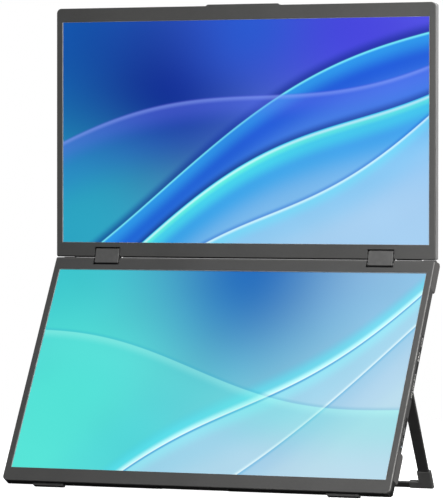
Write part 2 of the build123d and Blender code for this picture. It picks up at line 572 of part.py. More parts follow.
arms, arm_screws, bosses = [], [], []
for side in (-1, 1):
    a, holes = arm(side, AX_US, -17.6, -9.0)
    arms.append(a)
    for x, z in holes:
        arm_screws.append(cy(3.7, 4.9, x, z, 2.1) + cy(4.8, 9.4, x, z, 1.2))
        bosses.append(cy(6.6, T_UP - 1.0, x, z, 3.0) - cy(6, 10.4, x, z, 1.2))
put("upper_hinge_arms", LOC_UP, arms)
put("upper_arm_screws", LOC_UP, arm_screws)
for b in bosses:
    upper_cover += b
put("upper_rear_cover", LOC_UP, upper_cover)
PH = TILT / 2 + 180 + 15  # a gap faces the second idler
put("upper_hinge_shafts", LOC_UP, [Pos(0, AXIS_D, AX_US) * hinge_shaft(side, 0, PH) for side in (-1, 1)])


# ------------------------------------------------------------- hinge blocks
fronts, rears, frames, washers, pins, idle_a, idle_b = [], [], [], [], [], [], []
for side in (-1, 1):
    c = side * HINGE_X
    x0, x1 = c - BLOCK_HW, c + BLOCK_HW
    outer = link_profile(x0, x1, 0, 1.4)
    outer = chamfer(outer.edges().filter_by(lambda e: abs(abs(e.center().X - c) - BLOCK_HW) < 0.01), 0.4)
    hollow = link_profile(x0 + 1.2, x1 - 1.2, 1.2)
    shell = outer - hollow
    for z in (0.0, AXIS_GAP):
        shell -= cx(x0 - 1, x1 + 1, 0, z, SHAFT_R + 0.35)
    fronts.append(shell & bx(x0 - 1, x1 + 1, -20, 0.1, -20, 40))
    rears.append(shell & bx(x0 - 1, x1 + 1, 0.2, 20, -20, 40))
    fr = link_profile(c - 15.8, c - 13.4, 1.45) + link_profile(c + 13.4, c + 15.8, 1.45)
    fr += link_profile(c - 7.4, c - 4.5, 1.45) + link_profile(c + 4.5, c + 7.4, 1.45)
    fr += bx(c - 15.0, c - 5.0, -3.6, 3.9, 3.3, 7.5) + bx(c + 5.0, c + 15.0, -3.6, 3.9, 3.3, 7.5)
    fr += bx(c - 7.0, c + 7.0, 2.7, 3.9, 2.0, 8.8)
    for z in (0.0, AXIS_GAP):
        fr -= cx(x0, x1, 0, z, SHAFT_R + 0.05)
    for z in (AXIS_GAP / 3, 2 * AXIS_GAP / 3):
        fr -= cx(c - 7.5, c + 7.5, 0, z, 0.7)
    frames.append(fr)
    for z in (0.0, AXIS_GAP):
        for sg in (-1, 1):
            for k in range(3):
                a = c + sg * (8.0 + 1.7 * k)
                washers.append(cx(min(a, a + sg * 1.1), max(a, a + sg * 1.1), 0, z, 3.1) - cx(min(a, a + sg * 1.1) - 1, max(a, a + sg * 1.1) + 1, 0, z, SHAFT_R + 0.05))
    for z in (AXIS_GAP / 3, 2 * AXIS_GAP / 3):
        pins.append(cx(c - 7.4, c + 7.4, 0, z, 0.7))
    idle_a.append(involute_gear(c - 3.0, c + 3.0, AXIS_GAP / 3, 15.0, 0.75))
    idle_b.append(involute_gear(c - 3.0, c + 3.0, 2 * AXIS_GAP / 3, 0.0, 0.75))
put("hinge_front_covers", LOC_LINK, fronts)
put("hinge_rear_covers", LOC_LINK, rears)
put("hinge_frames", LOC_LINK, frames)
put("friction_washers", LOC_LINK, washers)
put("idler_pins", LOC_LINK, pins)
put("idler_gears_lower", LOC_LINK, idle_a)
put("idler_gears_upper", LOC_LINK, idle_b)


# ---------------------------------------------------------------- kickstand
def mir(s, a, b):
    return (min(s * a, s * b), max(s * a, s * b))


BR_X0, BR_X1, BR_XM = 223.5, 245.4, 233.5
LOC_PIV = LOC_LOW * Location((0, PIVOT_D, PIVOT_S))


def stand_bracket(s):
    "cast bracket on the back cover that carries the stand's pin"
    x0, x1 = mir(s, BR_X0, BR_X1)
    y0 = T_LOW - PIVOT_D
    body = bx(x0, x1, y0, 1.6, -20, 20)
    body = chamfer(body.edges().filter_by(Axis.X).filter_by(lambda e: e.center().Y > 0), 2.6)
    body = fillet(body.edges().filter_by(lambda e: e.length < 8 and abs(e.center().Y) < 3.0 and abs(abs(e.center().Z) - 20) < 0.1), 0.8)
    body += cx(x0, x1, 0, 0, 3.2)
    body -= cx(x0 - 1, x1 + 1, 0, 0, PIN_R)
    for z in (-13, 13):
        xm = s * BR_XM
        body -= cy(-6, 6, xm, z, 1.5)
        body -= cy(0.2, 6, xm, z, 2.9)
    return body


put("stand_brackets", LOC_PIV, both(stand_bracket))
put("stand_bracket_screws", LOC_PIV, [cy(-1.3, 0.2, s * BR_XM, z, 1.5) + cy(0.2, 1.4, s * BR_XM, z, 2.6) + cy(T_LOW - PIVOT_D - 1.7, -1.2, s * BR_XM, z, 1.5)
                                      - bx(s * BR_XM - 1.5, s * BR_XM + 1.5, 0.8, 2, z - 0.35, z + 0.35) - bx(s * BR_XM - 0.35, s * BR_XM + 0.35, 0.8, 2, z - 1.5, z + 1.5)
                                      for s in (-1, 1) for z in (-13, 13)])
put("stand_pins", LOC_PIV, [cx(*mir(s, 224.5, LEG_X1 + 1.6), 0, 0, PIN_R) for s in (-1, 1)])
put("stand_pin_caps", LOC_PIV, [cx(*mir(s, LEG_X1 + 0.3, LEG_X1 + 1.6), 0, 0, 2.9) - cx(*mir(s, LEG_X1, LEG_X1 + 2.0), 0, 0, PIN_R) for s in (-1, 1)])
cover_final = lower_cover_full
for s in (-1, 1):
    for z in (-13, 13):
        cover_final -= cy(T_LOW - 2, T_LOW + 1, s * BR_XM, PIVOT_S + z, 1.5)
for s in (-1, 1):
    for z in (-13, 13):
        cover_final += cy(T_LOW - 1.95, T_LOW - 1.0, s * BR_XM, PIVOT_S + z, 3.2) - cy(T_LOW - 4, T_LOW, s * BR_XM, PIVOT_S + z, 1.5)


def leg(s):
    x0, x1 = mir(s, LEG_X0, LEG_X1)
    body = bx(x0, x1, -LEG_T / 2, LEG_T / 2, -LEG_L, -0.5)
    body = chamfer(body.edges().filter_by(Axis.Z), 0.7)
    body += cx(x0, x1, 0, 0, KNUCKLE_R)
    return body - cx(x0 - 1, x1 + 1, 0, 0, PIN_R + 0.05)


legs = both(leg)
crossbar = bx(-LEG_X0, LEG_X0, -LEG_T / 2, LEG_T / 2, -LEG_L, -LEG_L + BAR_H)
crossbar = chamfer(crossbar.edges().filter_by(Axis.X), 0.7)
stand_floor = Location((0, 0, 0), (TILT - STAND_OPEN, 0, 0)) * bx(-400, 400, -400, 400, FLOOR - PIV[1] - 60, FLOOR - PIV[1])


def stand_cap(s):
    "rubber shoe over the corner where leg and crossbar meet"
    x0, x1 = mir(s, LEG_X0 - 1.3, SHOE_X)
    b0, b1 = mir(s, LEG_X0 - 15.0, SHOE_X)
    c_ = bx(x0, x1, -2.95, 3.1, -LEG_L - 1.4, -LEG_L + 25.5) + bx(b0, b1, -2.95, 3.1, -LEG_L - 1.4, -LEG_L + 9.2)
    out = [e for e in c_.edges() if abs(abs(e.center().X) - SHOE_X) < 0.01]
    c_ = chamfer(out, 0.9)
    for l in legs:
        c_ -= l
    c_ -= bx(-LEG_X0 - 1, LEG_X0 + 1, -LEG_T / 2, LEG_T / 2, -LEG_L, -LEG_L + BAR_H)
    return c_ - stand_floor


put("left_stand_leg", LOC_STAND, legs[0])
put("right_stand_leg", LOC_STAND, legs[1])
put("stand_crossbar", LOC_STAND, crossbar - stand_floor)
put("stand_foot_caps", LOC_STAND, both(stand_cap))


# --------------------------------------------------------------------- keys
key = extrude(Plane(origin=(HW - 0.15, PORT_D, PWR_S), x_dir=(0, 1, 0), z_dir=(1, 0, 0)) * RectangleRounded(2.8, 7.8, 1.3), amount=-2.9)
key = chamfer(key.faces().sort_by(Axis.X)[-1].edges(), 0.3)
key += bx(269.2, 270.25, 8.6, 10.9, PWR_S - 4.9, PWR_S + 4.9)
key += cx(266.9, 269.4, PORT_D - 0.5, PWR_S, 0.8)
put("power_key", LOC_LOW, key)

rock = extrude(Plane(origin=(HW - 0.15, PORT_D, ROCK_S), x_dir=(0, 1, 0), z_dir=(1, 0, 0)) * RectangleRounded(2.8, 11.2, 1.3), amount=-1.5)
rock = chamfer(rock.faces().sort_by(Axis.X)[-1].edges(), 0.3)
rock += bx(268.7, 270.9, 9.0, 11.0, ROCK_S - 1.5, ROCK_S + 1.5)
for s in (-1, 1):
    rock += bx(266.9, 270.9, 9.1, 9.9, ROCK_S + s * 3.3 - 0.5, ROCK_S + s * 3.3 + 0.5)
rock -= cy(8, 12, 269.6, ROCK_S, 0.65)
put("menu_rocker", LOC_LOW, rock)
put("rocker_pin", LOC_LOW, cy(8.7, 12.2, 269.6, ROCK_S, 0.6))
cover_final += cy(11.35, T_LOW - 1.2, 269.6, ROCK_S, 1.2) & bx(260, 271.5, 11, T_LOW - 1.1, ROCK_S - 3, ROCK_S + 3)
cover_final -= cy(11.0, 12.2, 269.6, ROCK_S, 0.6)
put("lower_rear_cover", LOC_LOW, cover_final)

# ------------------------------------------------- shift to the part's frame
lo = [1e9] * 3
hi = [-1e9] * 3
for name, ss in OUT.items():
    for s in ss:
        bb = s.bounding_box()
        for i, (a, b) in enumerate(((bb.min.X, bb.max.X), (bb.min.Y, bb.max.Y), (bb.min.Z, bb.max.Z))):
            lo[i], hi[i] = min(lo[i], a), max(hi[i], b)
SHIFT = (0.0, -(lo[1] + hi[1]) / 2, -FLOOR)
print("box", [round(v, 3) for v in lo], [round(v, 3) for v in hi], "shift", [round(v, 4) for v in SHIFT])


def row(y, z):
    return (round(y + SHIFT[1], 4), round(z + SHIFT[2], 4))


def low(sz, d):
    return row(sz * lu[0] + d * lb[0], sz * lu[1] + d * lb[1])


print("hinge axis lower (y, z)", row(*A), "upper", row(*B), "stand pivot", row(*PIV))
print("upper origin", row(*UP0), "lower origin", row(0, 0), "back direction", (round(lb[0], 5), round(lb[1], 5)))
print("vesa centre on the back", low(VC[1], BACK), "rocker pivot", low(ROCK_S, PORT_D), "power key", low(PWR_S, PORT_D))

os.makedirs("parts", exist_ok=True)
for name, ss in OUT.items():
    moved = [Pos(*SHIFT) * s for s in ss]
    shape = moved[0] if len(moved) == 1 else Compound(children=moved)
    export_step(shape, "parts/%s.step" % name)
print(len(OUT), "nodes")
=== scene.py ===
import math

import bmesh
import bpy
from mathutils import Matrix, Vector


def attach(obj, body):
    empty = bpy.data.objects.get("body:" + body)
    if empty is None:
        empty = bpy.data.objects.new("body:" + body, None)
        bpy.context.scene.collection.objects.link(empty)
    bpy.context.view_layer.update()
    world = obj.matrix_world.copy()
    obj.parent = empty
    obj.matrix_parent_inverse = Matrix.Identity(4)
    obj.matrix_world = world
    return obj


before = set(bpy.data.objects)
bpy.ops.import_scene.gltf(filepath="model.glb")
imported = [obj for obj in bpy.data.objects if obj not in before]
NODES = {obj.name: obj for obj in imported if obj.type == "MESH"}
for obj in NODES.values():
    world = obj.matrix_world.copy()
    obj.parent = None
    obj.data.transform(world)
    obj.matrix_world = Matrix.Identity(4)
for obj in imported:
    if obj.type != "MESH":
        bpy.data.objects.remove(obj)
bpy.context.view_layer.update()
scene = bpy.context.scene
MM = 0.001

# ------------------------------------------------------------- the camera
YAW, PITCH, ROLL = 0.4069977, 0.0187500, -0.000844
fwd = Vector((-math.sin(YAW) * math.cos(PITCH), math.cos(YAW) * math.cos(PITCH), -math.sin(PITCH)))
right = Vector((math.cos(YAW), math.sin(YAW), 0.0))
down = fwd.cross(right)
cam_x = right * math.cos(ROLL) + down * math.sin(ROLL)
cam_down = down * math.cos(ROLL) - right * math.sin(ROLL)
cam_data = bpy.data.cameras.new("camera")
cam_data.lens = 273.65
cam_data.sensor_width = 36.0
cam_data.sensor_fit = "AUTO"
cam_data.clip_start = 0.1
cam_data.clip_end = 100.0
cam = bpy.data.objects.new("camera", cam_data)
scene.collection.objects.link(cam)
rot = Matrix((cam_x, -cam_down, -fwd)).transposed()
cam.matrix_world = Matrix.Translation((1.97021, -4.56894, 0.40437)) @ rot.to_4x4()
scene.camera = cam

# ------------------------------------------------------- panel directions
TILT = math.radians(29.73)
LOW_UP = Vector((0, math.sin(TILT), math.cos(TILT)))
LOW_BACK = Vector((0, math.cos(TILT), -math.sin(TILT)))
LOW_O = Vector((0, 60.6889, 282.3)) * MM      # middle of the lower active area's top edge, on the bezel's face
UP_O = Vector((0, 70.0975, 318.6971)) * MM    # middle of the upper active area's bottom edge, on the bezel's face
ACT_W, ACT_H = 527.04, 296.46


def low(x, d, s):
    "lower display's own (x, depth, height) in mm to the row frame"
    return LOW_O + Vector((x * MM, 0, 0)) + LOW_BACK * (d * MM) + LOW_UP * (s * MM)


def up(x, d, s):
    "upper display's own (x, depth, height) in mm to the row frame"
    return UP_O + Vector((x * MM, d * MM, s * MM))


# -------------------------------------------------------------- materials
def srgb(r, g, b):
    def f(v):
        v /= 255.0
        return v / 12.92 if v <= 0.04045 else ((v + 0.055) / 1.055) ** 2.4
    return (f(r), f(g), f(b), 1.0)


class Tree:
    "a material under construction"

    def __init__(self, name):
        self.m = bpy.data.materials.new(name)
        self.m.use_nodes = True
        self.nt = self.m.node_tree
        self.nt.nodes.clear()
        self.out = self.nt.nodes.new("ShaderNodeOutputMaterial")
        self.p = self.nt.nodes.new("ShaderNodeBsdfPrincipled")
        self.nt.links.new(self.p.outputs[0], self.out.inputs["Surface"])
        self.tc = self.nt.nodes.new("ShaderNodeTexCoord")
        self.obj = self.tc.outputs["Object"]

    def link(self, a, b):
        self.nt.links.new(a, b)

    def put(self, sock, v):
        if v is None:
            return
        if isinstance(v, bpy.types.NodeSocket):
            self.link(v, sock)
        else:
            sock.default_value = v

    def math(self, op, a, b=None, c=None, clamp=False):
        n = self.nt.nodes.new("ShaderNodeMath")
        n.operation = op
        n.use_clamp = clamp
        self.put(n.inputs[0], a)
        self.put(n.inputs[1], b)
        self.put(n.inputs[2], c)
        return n.outputs[0]

    def dot(self, v, w):
        n = self.nt.nodes.new("ShaderNodeVectorMath")
        n.operation = "DOT_PRODUCT"
        self.put(n.inputs[0], v)
        self.put(n.inputs[1], w)
        return n.outputs["Value"]

    def vsub(self, v, w):
        n = self.nt.nodes.new("ShaderNodeVectorMath")
        n.operation = "SUBTRACT"
        self.put(n.inputs[0], v)
        self.put(n.inputs[1], w)
        return n.outputs[0]

    def vmul(self, v, w):
        n = self.nt.nodes.new("ShaderNodeVectorMath")
        n.operation = "MULTIPLY"
        self.put(n.inputs[0], v)
        self.put(n.inputs[1], w)
        return n.outputs[0]

    def combine(self, x, y, z):
        n = self.nt.nodes.new("ShaderNodeCombineXYZ")
        self.put(n.inputs[0], x)
        self.put(n.inputs[1], y)
        self.put(n.inputs[2], z)
        return n.outputs[0]

    def separate(self, v):
        n = self.nt.nodes.new("ShaderNodeSeparateXYZ")
        self.link(v, n.inputs[0])
        return n.outputs[0], n.outputs[1], n.outputs[2]

    def noise(self, vec, scale, detail=2.0, rough=0.5, distortion=0.0):
        n = self.nt.nodes.new("ShaderNodeTexNoise")
        n.inputs["Scale"].default_value = scale
        n.inputs["Detail"].default_value = detail
        n.inputs["Roughness"].default_value = rough
        n.inputs["Distortion"].default_value = distortion
        self.link(vec, n.inputs["Vector"])
        return n.outputs["Fac"]

    def voronoi(self, vec, scale):
        n = self.nt.nodes.new("ShaderNodeTexVoronoi")
        n.inputs["Scale"].default_value = scale
        self.link(vec, n.inputs["Vector"])
        return n.outputs["Distance"]

    def remap(self, v, a, b, c, d, smooth=False):
        n = self.nt.nodes.new("ShaderNodeMapRange")
        n.clamp = True
        if smooth:
            n.interpolation_type = "SMOOTHSTEP"
        self.put(n.inputs["Value"], v)
        self.put(n.inputs["From Min"], a)
        self.put(n.inputs["From Max"], b)
        self.put(n.inputs["To Min"], c)
        self.put(n.inputs["To Max"], d)
        return n.outputs["Result"]

    def mix(self, fac, a, b, kind="MIX"):
        n = self.nt.nodes.new("ShaderNodeMix")
        n.data_type = "RGBA"
        n.blend_type = kind
        n.clamp_factor = True
        self.put(n.inputs[0], fac)
        self.put(n.inputs[6], a)
        self.put(n.inputs[7], b)
        return n.outputs[2]

    def ramp(self, fac, stops, interp="EASE"):
        n = self.nt.nodes.new("ShaderNodeValToRGB")
        n.color_ramp.interpolation = interp
        e = n.color_ramp.elements
        while len(e) > 1:
            e.remove(e[-1])
        e[0].position, e[0].color = stops[0][0], stops[0][1]
        for pos, col in stops[1:]:
            k = e.new(pos)
            k.color = col
        self.link(fac, n.inputs[0])
        return n.outputs["Color"], n.outputs["Alpha"]

    def edge(self, radius, gain=6.0):
        "(rounded normal, mask that is 1 along sharp edges)"
        b = self.nt.nodes.new("ShaderNodeBevel")
        b.samples = 6
        b.inputs["Radius"].default_value = radius
        g = self.nt.nodes.new("ShaderNodeNewGeometry")
        d = self.dot(b.outputs["Normal"], g.outputs["Normal"])
        inv = self.math("SUBTRACT", 1.0, d)
        return b.outputs["Normal"], self.math("MULTIPLY", inv, gain, clamp=True)

    def bump(self, height, strength, distance, normal=None):
        n = self.nt.nodes.new("ShaderNodeBump")
        n.inputs["Strength"].default_value = strength
        n.inputs["Distance"].default_value = distance
        self.link(height, n.inputs["Height"])
        if normal is not None:
            self.link(normal, n.inputs["Normal"])
        return n.outputs["Normal"]


def scaled(col, k):
    return (min(1, col[0] * k), min(1, col[1] * k), min(1, col[2] * k), 1.0)


def moulded(name, base, rough=0.52, grain=1900.0, depth=0.00003, spec=0.45, edge_r=0.00035, edge_k=1.45,
            mottle=0.10, extra=None):
    """spark-eroded moulded plastic: fine grain, slight mottling, edges painted lighter, partly as wear and partly as a
    painted highlight
    """
    t = Tree(name)
    n_fine = t.noise(t.obj, grain, 3.0, 0.62)
    n_mid = t.noise(t.obj, 260.0, 3.0, 0.55)
    n_big = t.noise(t.obj, 14.0, 2.0, 0.5)
    rough_n, edge_m = t.edge(edge_r)
    tone = t.math("ADD", t.math("MULTIPLY", n_big, 0.6), t.math("MULTIPLY", n_mid, 0.4))
    c = t.mix(t.remap(tone, 0.34, 0.66, 0, 1), scaled(base, 1 - mottle), scaled(base, 1 + mottle))
    speck = t.remap(n_fine, 0.42, 0.62, 0.0, 1.0)
    c = t.mix(t.math("MULTIPLY", speck, 0.35), c, scaled(base, 1.35))
    # painted highlight: edges lighter, partly standing for wear
    c = t.mix(t.math("MULTIPLY", edge_m, 0.55), c, scaled(base, edge_k))
    if extra:
        c = extra(t, c)
    t.link(c, t.p.inputs["Base Color"])
    r = t.math("ADD", t.remap(n_mid, 0.3, 0.7, rough - 0.05, rough + 0.05), t.math("MULTIPLY", edge_m, -0.10))
    t.link(r, t.p.inputs["Roughness"])
    t.p.inputs["Specular IOR Level"].default_value = spec
    t.link(t.bump(n_fine, 0.55, depth, rough_n), t.p.inputs["Normal"])
    return t.m


def coated(name, base, rough=0.42, grain=1300.0, depth=0.00002, metallic=0.0, spec=0.5, edge_k=1.8, edge_r=0.0004,
           extra=None):
    """powder or satin coat on metal: orange-peel grain, edges painted lighter in patches, partly as wear and partly as
    a painted highlight
    """
    t = Tree(name)
    v = t.voronoi(t.obj, grain)
    n_mid = t.noise(t.obj, 150.0, 4.0, 0.6)
    rough_n, edge_m = t.edge(edge_r)
    c = t.mix(t.remap(n_mid, 0.35, 0.65, 0, 1), scaled(base, 0.9), scaled(base, 1.1))
    # edges painted lighter in patches: partly wear, partly a painted highlight
    edge_wear_and_sheen = t.math("MULTIPLY", edge_m, t.remap(t.noise(t.obj, 90.0, 3.0, 0.6), 0.35, 0.6, 0.25, 0.8))
    c = t.mix(edge_wear_and_sheen, c, scaled(base, edge_k))
    if extra:
        c = extra(t, c)
    t.link(c, t.p.inputs["Base Color"])
    t.link(t.remap(n_mid, 0.3, 0.7, rough - 0.06, rough + 0.06), t.p.inputs["Roughness"])
    t.p.inputs["Metallic"].default_value = metallic
    t.p.inputs["Specular IOR Level"].default_value = spec
    t.link(t.bump(v, 0.35, depth, rough_n), t.p.inputs["Normal"])
    return t.m


def metal(name, base, rough=0.3, axis=(1, 0, 0), streak=900.0, edge_k=1.3):
    "plated or plain metal with fine drawn lines along one axis"
    t = Tree(name)
    squash = [streak] * 3
    for i, a in enumerate(axis):
        if abs(a) > 0.5:
            squash[i] = streak * 0.04
    lines = t.noise(t.vmul(t.obj, tuple(squash)), 1.0, 3.0, 0.6)
    blot = t.noise(t.obj, 120.0, 3.0, 0.55)
    rough_n, edge_m = t.edge(0.0002)
    c = t.mix(t.remap(blot, 0.35, 0.65, 0, 1), scaled(base, 0.86), scaled(base, 1.05))
    # painted highlight: edges a little lighter
    c = t.mix(t.math("MULTIPLY", edge_m, 0.5), c, scaled(base, edge_k))
    t.link(c, t.p.inputs["Base Color"])
    t.p.inputs["Metallic"].default_value = 1.0
    t.link(t.remap(lines, 0.3, 0.7, rough - 0.08, rough + 0.12), t.p.inputs["Roughness"])
    t.link(t.bump(lines, 0.25, 0.00001, rough_n), t.p.inputs["Normal"])
    return t.m


def soft_rubber(name, base, rough=0.78):
    "matt rubber with a fine pebbled skin and a little dust in it"
    t = Tree(name)
    v = t.voronoi(t.obj, 1100.0)
    dust = t.noise(t.obj, 75.0, 5.0, 0.65)
    rough_n, edge_m = t.edge(0.0005)
    c = t.mix(t.remap(dust, 0.45, 0.75, 0, 0.45), base, scaled(base, 1.7))
    # painted highlight: edges lighter
    c = t.mix(t.math("MULTIPLY", edge_m, 0.4), c, scaled(base, 1.6))
    t.link(c, t.p.inputs["Base Color"])
    t.link(t.remap(dust, 0.3, 0.7, rough - 0.05, rough + 0.08), t.p.inputs["Roughness"])
    t.p.inputs["Specular IOR Level"].default_value = 0.3
    t.link(t.bump(v, 0.5, 0.00004, rough_n), t.p.inputs["Normal"])
    return t.m


def circuit(name, base):
    "solder mask over copper tracks"
    t = Tree(name)
    x, y, z = t.separate(t.obj)
    s = t.dot(t.vsub(t.obj, tuple(LOW_O)), tuple(LOW_UP))
    px = t.math("PINGPONG", t.math("ADD", x, t.math("MULTIPLY", t.noise(t.obj, 60.0, 0.0), 0.004)), 0.0011)
    ps = t.math("PINGPONG", t.math("ADD", s, t.math("MULTIPLY", t.noise(t.obj, 45.0, 0.0), 0.006)), 0.0014)
    track = t.math("MAXIMUM", t.math("LESS_THAN", px, 0.00028), t.math("LESS_THAN", ps, 0.0003))
    c = t.mix(t.math("MULTIPLY", track, 0.55), base, scaled(base, 2.1))
    t.link(c, t.p.inputs["Base Color"])
    t.link(t.remap(t.noise(t.obj, 200.0, 2.0), 0.3, 0.7, 0.28, 0.42), t.p.inputs["Roughness"])
    t.link(t.bump(track, 0.3, 0.00003), t.p.inputs["Normal"])
    return t.m


def optical(name, base):
    "clear or white optical plastic sheet"
    t = Tree(name)
    n = t.noise(t.obj, 380.0, 2.0, 0.5)
    t.link(t.mix(n, scaled(base, 0.95), base), t.p.inputs["Base Color"])
    t.link(t.remap(n, 0.3, 0.7, 0.16, 0.28), t.p.inputs["Roughness"])
    t.link(t.bump(n, 0.1, 0.00001), t.p.inputs["Normal"])
    return t.m


def pipe_glow(name):
    "clear light pipe, faintly lit from inside"
    t = Tree(name)
    n = t.noise(t.obj, 900.0, 2.0, 0.5)
    c = t.mix(n, srgb(196, 214, 232), srgb(222, 236, 248))
    t.link(c, t.p.inputs["Base Color"])
    t.link(t.remap(n, 0.3, 0.7, 0.18, 0.3), t.p.inputs["Roughness"])
    t.link(c, t.p.inputs["Emission Color"])
    t.p.inputs["Emission Strength"].default_value = 0.15
    t.link(t.bump(n, 0.15, 0.00001), t.p.inputs["Normal"])
    return t.m


# ------------------------------------------------------ screen pictures
def wave(t, u, a, b, amp, k, ph, amp2=0.0, k2=0.0, ph2=0.0):
    "a + b*u + amp*sin(k*u + ph) + amp2*sin(k2*u + ph2)"
    c = t.math("MULTIPLY_ADD", u, b, a)
    c = t.math("ADD", c, t.math("MULTIPLY", t.math("SINE", t.math("MULTIPLY_ADD", u, k, ph)), amp))
    if amp2:
        c = t.math("ADD", c, t.math("MULTIPLY", t.math("SINE", t.math("MULTIPLY_ADD", u, k2, ph2)), amp2))
    return c


def sheet_of_light(t, under, dist, stops, width):
    "lays a ribbon over what is under it; dist is the signed distance from its crest"
    f = t.math("MULTIPLY_ADD", dist, 1.0 / (2 * width), 0.5, clamp=True)
    col, alpha = t.ramp(f, stops)
    return t.mix(alpha, under, col)


def a(col, alpha):
    return (col[0], col[1], col[2], alpha)


def display(name, origin, updir, v0, picture):
    "a lit display panel behind a semi-gloss polariser"
    t = Tree(name)
    x, y, z = t.separate(t.obj)
    u = t.math("MULTIPLY_ADD", x, 1000.0 / ACT_W, 0.5)
    s = t.dot(t.vsub(t.obj, tuple(origin)), tuple(updir))
    v = t.math("MULTIPLY_ADD", s, 1000.0 / ACT_H, v0)
    c = picture(t, u, v)
    # outside the active area the panel is black
    du = t.math("SUBTRACT", 0.5, t.math("ABSOLUTE", t.math("SUBTRACT", u, 0.5)))
    dv = t.math("SUBTRACT", 0.5, t.math("ABSOLUTE", t.math("SUBTRACT", v, 0.5)))
    lit = t.math("MULTIPLY", t.math("GREATER_THAN", du, 0.0), t.math("GREATER_THAN", dv, 0.0))
    c = t.mix(lit, srgb(9, 10, 11), c)
    # faint backlight unevenness
    even = t.noise(t.combine(t.math("MULTIPLY", u, 5.0), t.math("MULTIPLY", v, 3.0), 0.0), 1.0, 1.0, 0.4)
    c = t.mix(t.remap(even, 0.3, 0.7, 0.0, 0.035), c, srgb(0, 10, 40), "MIX")
    t.link(t.mix(1.0, c, (0.10, 0.10, 0.10, 1.0), "MULTIPLY"), t.p.inputs["Base Color"])
    t.link(c, t.p.inputs["Emission Color"])
    t.p.inputs["Emission Strength"].default_value = 0.93
    film = t.noise(t.obj, 1500.0, 2.0, 0.5)
    t.link(t.remap(film, 0.3, 0.7, 0.30, 0.38), t.p.inputs["Roughness"])
    t.p.inputs["Specular IOR Level"].default_value = 0.12
    t.link(t.bump(film, 0.12, 0.000006), t.p.inputs["Normal"])
    return t.m


def corners(t, u, v, tl, tr, bl, br):
    top = t.mix(t.remap(u, 0, 1, 0, 1, True), tl, tr)
    bot = t.mix(t.remap(u, 0, 1, 0, 1, True), bl, br)
    return t.mix(t.remap(v, 0, 1, 0, 1, True), bot, top)


def glow(t, under, u, v, cu, cv, ru, rv, col, k):
    "soft elliptical glow"
    x = t.math("DIVIDE", t.math("SUBTRACT", u, cu), ru)
    y = t.math("DIVIDE", t.math("SUBTRACT", v, cv), rv)
    r2 = t.math("ADD", t.math("MULTIPLY", x, x), t.math("MULTIPLY", y, y))
    f = t.math("MULTIPLY", t.math("EXPONENT", t.math("MULTIPLY", r2, -1.0)), k)
    return t.mix(f, under, col)


def upper_picture(t, u, v):
    c = corners(t, u, v, srgb(18, 92, 178), srgb(92, 92, 228), srgb(40, 156, 190), srgb(164, 204, 236))
    c = glow(t, c, u, v, 0.30, 0.66, 0.30, 0.42, srgb(4, 38, 142), 0.96)
    c = glow(t, c, u, v, 0.78, 0.92, 0.30, 0.34, srgb(66, 62, 216), 0.85)
    c = glow(t, c, u, v, 0.52, 0.98, 0.16, 0.26, srgb(30, 92, 206), 0.70)
    c = glow(t, c, u, v, 0.06, 0.10, 0.22, 0.30, srgb(44, 168, 196), 0.75)
    # a wide silk sheet that climbs from the lower left and levels out on the right
    d = t.math("SUBTRACT", wave(t, u, -0.02, 0.92, 0.13, 4.0, -1.1), v)
    c = sheet_of_light(t, c, d, [
        (0.00, a(srgb(6, 40, 150), 0.0)), (0.440, a(srgb(6, 50, 165), 0.0)), (0.495, a(srgb(4, 36, 140), 0.70)),
        (0.501, a(srgb(120, 236, 250), 1.0)), (0.512, a(srgb(44, 150, 232), 0.96)), (0.600, a(srgb(24, 92, 214), 0.92)),
        (0.74, a(srgb(60, 128, 228), 0.80)), (1.00, a(srgb(140, 188, 238), 0.35))], 0.50)
    # a brighter fold that leaves it low on the left, with a turquoise edge
    d = t.math("SUBTRACT", wave(t, u, -0.24, 0.98, 0.10, 5.0, -0.9), v)
    c = sheet_of_light(t, c, d, [
        (0.00, a(srgb(8, 60, 170), 0.0)), (0.455, a(srgb(6, 52, 160), 0.0)), (0.496, a(srgb(2, 30, 120), 0.75)),
        (0.500, a(srgb(60, 214, 240), 1.0)), (0.508, a(srgb(196, 252, 250), 1.0)), (0.522, a(srgb(96, 240, 226), 0.98)),
        (0.548, a(srgb(70, 214, 236), 0.95)), (0.62, a(srgb(58, 168, 234), 0.88)), (0.78, a(srgb(126, 190, 238), 0.80)),
        (1.00, a(srgb(170, 208, 238), 0.55))], 0.48)
    # narrow fold inside the bright one
    d = t.math("SUBTRACT", wave(t, u, -0.50, 1.10, 0.07, 6.2, -0.4), v)
    c = sheet_of_light(t, c, d, [
        (0.00, a(srgb(90, 176, 236), 0.0)), (0.470, a(srgb(40, 130, 220), 0.10)), (0.497, a(srgb(24, 104, 206), 0.60)),
        (0.502, a(srgb(210, 248, 255), 0.95)), (0.522, a(srgb(120, 216, 246), 0.80)), (0.60, a(srgb(140, 204, 242), 0.55)),
        (0.80, a(srgb(168, 208, 240), 0.40)), (1.00, a(srgb(172, 210, 240), 0.0))], 0.40)
    # a faint violet veil high on the right
    d = t.math("SUBTRACT", wave(t, u, 0.40, 0.46, 0.09, 4.6, 0.6), v)
    c = sheet_of_light(t, c, d, [
        (0.00, a(srgb(80, 80, 226), 0.0)), (0.480, a(srgb(70, 70, 220), 0.0)), (0.500, a(srgb(126, 150, 246), 0.62)),
        (0.53, a(srgb(86, 108, 236), 0.42)), (0.70, a(srgb(50, 88, 222), 0.18)), (1.00, a(srgb(40, 84, 214), 0.0))], 0.34)
    return c


